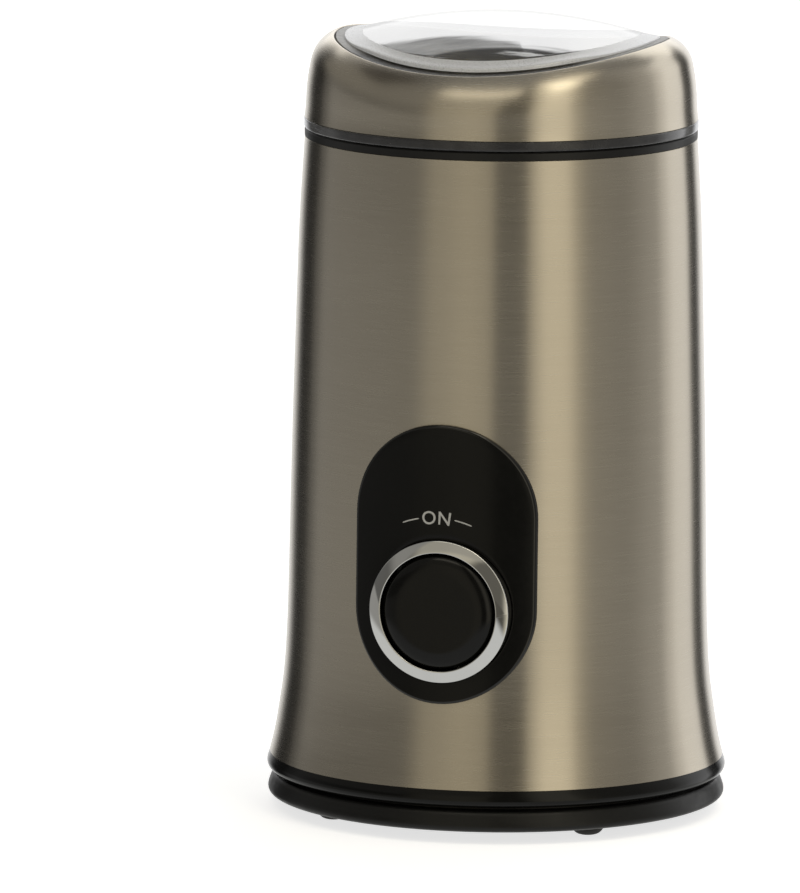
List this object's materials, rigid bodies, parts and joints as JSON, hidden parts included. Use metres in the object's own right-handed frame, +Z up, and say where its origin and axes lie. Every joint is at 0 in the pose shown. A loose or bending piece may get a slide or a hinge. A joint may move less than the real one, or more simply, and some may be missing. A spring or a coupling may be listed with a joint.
{
  "type": "electric spice grinder",
  "caption": "Upright electric grinder: brushed steel body on a black base, lift-off lid with a clear dome over a bowl and blade, round press button on the front.",
  "frame": {"origin": "bottom centre of the object, on the plane that the feet stand on", "axes": "+Z up along the motor axis, the button faces -Y, the lead exit faces +Y, +X to the right of someone facing the button"},
  "size_m": [0.108, 0.1079, 0.1882],
  "materials": {
    "brushed_steel": "brushed",
    "bowl_steel": "satin",
    "blade_steel": "ground",
    "black_plastic_gloss": "satin gloss",
    "black_plastic": "fine texture",
    "chrome_ring": "polished",
    "smoked_clear": "clear with frosted flange",
    "black_rubber": "matte",
    "brass": "machined",
    "zinc_steel": "zinc plated",
    "spring_steel": "bright",
    "red_plastic": "moulded",
    "white_plastic": "moulded",
    "grey_plastic": "glass filled",
    "lamination": "laminated",
    "copper_winding": "enamelled wire",
    "die_cast": "as cast",
    "carbon": "sintered",
    "lead_brown": "insulated lead",
    "lead_blue": "insulated lead"
  },
  "bodies": {
    "root": {"body_sleeve": "brushed_steel", "grinding_bowl": "bowl_steel", "inner_housing": "black_plastic", "motor_deck": "black_plastic", "top_collar": "black_plastic", "control_plate": "black_plastic_gloss", "button_ring": "chrome_ring", "bowl_gasket": "black_rubber", "shaft_bushing": "brass", "bushing_nut": "zinc_steel", "shaft_seal": "black_rubber", "brush_springs": "spring_steel", "switch_carrier": "black_plastic", "carrier_screws": "zinc_steel", "button_switch": "red_plastic", "stator_core": "lamination", "field_coils": "copper_winding", "upper_bearing": "spring_steel", "lower_bearing": "spring_steel", "upper_bracket": "die_cast", "lower_bracket": "grey_plastic", "motor_screws": "zinc_steel", "brush_holders": "brass", "carbon_brushes": "carbon", "motor_mounts": "black_rubber", "mount_screws": "zinc_steel", "interlock_switch": "red_plastic", "base_collar": "black_plastic_gloss", "base_plate": "black_plastic", "cord_gland": "black_rubber", "base_screws": "zinc_steel", "rubber_feet": "black_rubber", "terminal_block": "white_plastic", "lead_interlock": "lead_brown", "lead_switch": "lead_blue", "lead_motor": "lead_brown"},
    "lid": {"lid_cap": "brushed_steel", "lid_liner": "smoked_clear"},
    "button": {"push_button": "black_plastic_gloss", "button_spring": "spring_steel"},
    "switch_lever": {"switch_lever": "spring_steel"},
    "switch_plunger": {"switch_plunger": "white_plastic"},
    "rotor": {"motor_shaft": "spring_steel", "armature_core": "lamination", "armature_windings": "copper_winding", "commutator": "brass", "cooling_fan": "grey_plastic", "blade_hub": "blade_steel", "grinding_blade": "blade_steel", "blade_nut": "black_plastic_gloss"},
    "interlock_rod": {"interlock_rod": "white_plastic", "interlock_spring": "spring_steel"},
    "interlock_plunger": {"interlock_plunger": "white_plastic"}
  },
  "joints": [
    {"name": "lid_lift", "type": "slide", "parent": "root", "child": "lid", "axis": [0, 0, 1], "range_m": [0, 0.06]},
    {"name": "button_press", "type": "slide", "parent": "root", "child": "button", "axis": [0, 1, 0], "range_m": [0, 0.0025], "stiffness_N_per_m": 600, "springref_m": -0.004, "deforming": ["button_spring"]},
    {"name": "switch_lever_turn", "type": "hinge", "parent": "root", "child": "switch_lever", "pos_m": [0.0085, -0.02875, 0.054], "axis": [0, 0, -1], "range_deg": [0, 16.44]},
    {"name": "switch_plunger_slide", "type": "slide", "parent": "root", "child": "switch_plunger", "axis": [0, 1, 0], "range_m": [0, 0.0011]},
    {"name": "blade_spin", "type": "hinge", "parent": "root", "child": "rotor", "pos_m": [0, 0, 0.119], "axis": [0, 0, 1], "continuous": true},
    {"name": "interlock_rise", "type": "slide", "parent": "root", "child": "interlock_rod", "axis": [0, 0, 1], "range_m": [0, 0.003], "deforming": ["interlock_spring"]},
    {"name": "interlock_plunger_slide", "type": "slide", "parent": "root", "child": "interlock_plunger", "axis": [0, 0, 1], "range_m": [0, 0.001]}
  ],
  "couplings": [
    {"joint": "switch_lever_turn", "follows": "button_press", "rad_per_m": 114.42},
    {"joint": "switch_plunger_slide", "follows": "button_press", "ratio": 0.4},
    {"joint": "interlock_rise", "follows": "lid_lift", "ratio": 0.05},
    {"joint": "interlock_plunger_slide", "follows": "lid_lift", "ratio": 0.016667}
  ]
}
